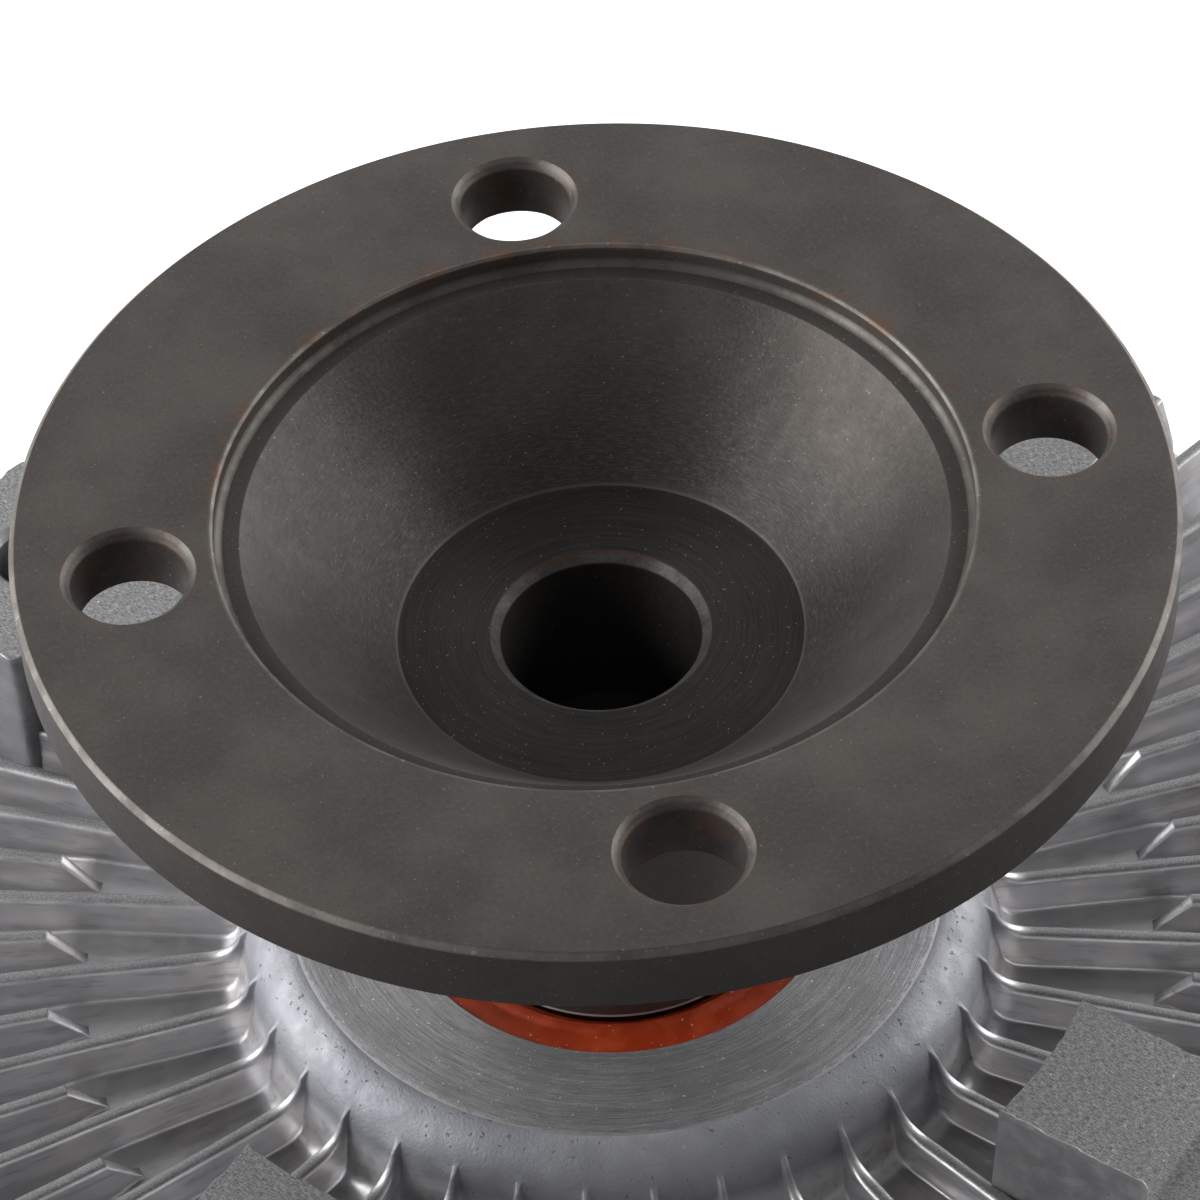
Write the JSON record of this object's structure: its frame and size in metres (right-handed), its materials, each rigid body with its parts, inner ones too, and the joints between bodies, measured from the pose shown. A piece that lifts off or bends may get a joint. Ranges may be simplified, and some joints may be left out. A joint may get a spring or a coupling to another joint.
{
  "type": "viscous fan clutch",
  "caption": "Engine cooling fan clutch: steel flange and shaft on a sealed ball bearing, finned aluminium body with fan pads, grooved rotor and a fluid valve turned by a bimetal coil.",
  "frame": {"origin": "centre of the flange's mounting face, on the axis of the shaft", "axes": "+Z along the shaft, out of the flange's mounting face; one flange bolt hole lies on +X"},
  "size_m": [0.168, 0.168, 0.0951],
  "materials": {
    "oxide_steel": "turned steel with a dark oxide finish",
    "bearing_steel": "ground",
    "cage_brass": "machined",
    "seal_rubber": "moulded orange rubber",
    "cast_alloy": "die cast, with machined faces",
    "turned_alloy": "turned",
    "spring_steel": "hardened and oiled",
    "plated_steel": "zinc plated",
    "wiper_plastic": "moulded",
    "black_rubber": "moulded",
    "bimetal_strip": "rolled strip"
  },
  "bodies": {
    "housing": {"rear_housing": "cast_alloy", "front_cover": "cast_alloy", "bearing_outer_ring": "bearing_steel", "rear_bearing_seal": "seal_rubber", "front_bearing_seal": "seal_rubber", "divider_plate": "plated_steel", "divider_screws": "plated_steel", "pump_wiper": "wiper_plastic", "valve_seal_ring": "black_rubber", "bimetal_coil": "bimetal_strip", "cover_seal_ring": "black_rubber", "cover_screws": "plated_steel", "fill_plug": "plated_steel"},
    "drive": {"flange_shaft": "oxide_steel", "bearing_inner_ring": "bearing_steel", "rotor_disc": "turned_alloy", "rotor_keeper_ring": "spring_steel"},
    "ball_set": {"bearing_balls": "bearing_steel", "bearing_cage": "cage_brass"},
    "valve": {"valve_shaft": "plated_steel", "valve_arm": "plated_steel", "valve_clip": "spring_steel"}
  },
  "joints": [
    {"name": "shaft_spin", "type": "hinge", "parent": "housing", "child": "drive", "pos_m": [0, 0, 0], "axis": [0, 0, 1], "continuous": true},
    {"name": "cage_roll", "type": "hinge", "parent": "housing", "child": "ball_set", "pos_m": [0, 0, 0], "axis": [0, 0, 1], "continuous": true},
    {"name": "valve_swing", "type": "hinge", "parent": "housing", "child": "valve", "pos_m": [0, 0, -0.08], "axis": [0, 0, 1], "range_deg": [0, 30], "deforming": ["bimetal_coil"]}
  ],
  "couplings": [
    {"joint": "cage_roll", "follows": "shaft_spin", "ratio": 0.3976}
  ]
}
